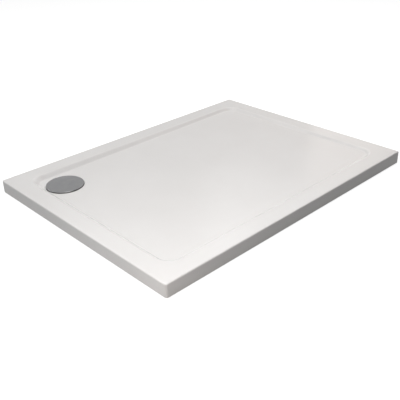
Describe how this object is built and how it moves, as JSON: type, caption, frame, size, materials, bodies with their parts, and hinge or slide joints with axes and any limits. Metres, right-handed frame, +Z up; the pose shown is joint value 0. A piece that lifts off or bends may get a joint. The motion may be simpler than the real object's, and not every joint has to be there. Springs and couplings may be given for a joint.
{
  "type": "shower tray",
  "caption": "Low rectangular white shower tray with a flat rim, a shallow basin falling to one corner, and a fitted round chrome waste with a low trap.",
  "frame": {"origin": "centre of the tray's underside, which stands on the floor; the trap hangs below it", "axes": "+X along the 1000 mm side away from the waste, +Y along the 760 mm side towards the waste, +Z up"},
  "size_m": [1, 0.76, 0.1005],
  "materials": {
    "white_acrylic": "glossy white acrylic sheet",
    "cast_resin": "matt cast stone resin",
    "seal_foam": "closed-cell foam rubber",
    "grey_plastic": "moulded polypropylene, light grey",
    "black_plastic": "moulded polypropylene, black",
    "stainless": "stainless steel",
    "black_rubber": "moulded rubber",
    "white_plastic": "moulded polypropylene, white",
    "chrome_cover": "polished chrome plate"
  },
  "bodies": {
    "root": {"acrylic_skin": "white_acrylic", "stone_resin_core": "cast_resin", "flange_seal": "seal_foam", "waste_flange": "black_plastic", "flange_screws": "stainless", "body_seal": "black_rubber", "trap_body": "white_plastic", "outlet_seal": "black_rubber", "outlet_slip_washer": "white_plastic", "outlet_nut": "white_plastic"},
    "dip_tube": {"dip_tube": "grey_plastic", "dip_tube_o_ring": "black_rubber"},
    "strainer": {"hair_strainer": "grey_plastic"},
    "cover": {"cover_carrier": "black_plastic", "waste_cover": "chrome_cover"}
  },
  "joints": [
    {"name": "dip_tube_lift", "type": "slide", "parent": "root", "child": "dip_tube", "axis": [0, 0, 1], "range_m": [0, 0.1]},
    {"name": "strainer_lift", "type": "slide", "parent": "dip_tube", "child": "strainer", "axis": [0, 0, 1], "range_m": [0, 0.04]},
    {"name": "cover_lift", "type": "slide", "parent": "strainer", "child": "cover", "axis": [0, 0, 1], "range_m": [0, 0.05]}
  ]
}
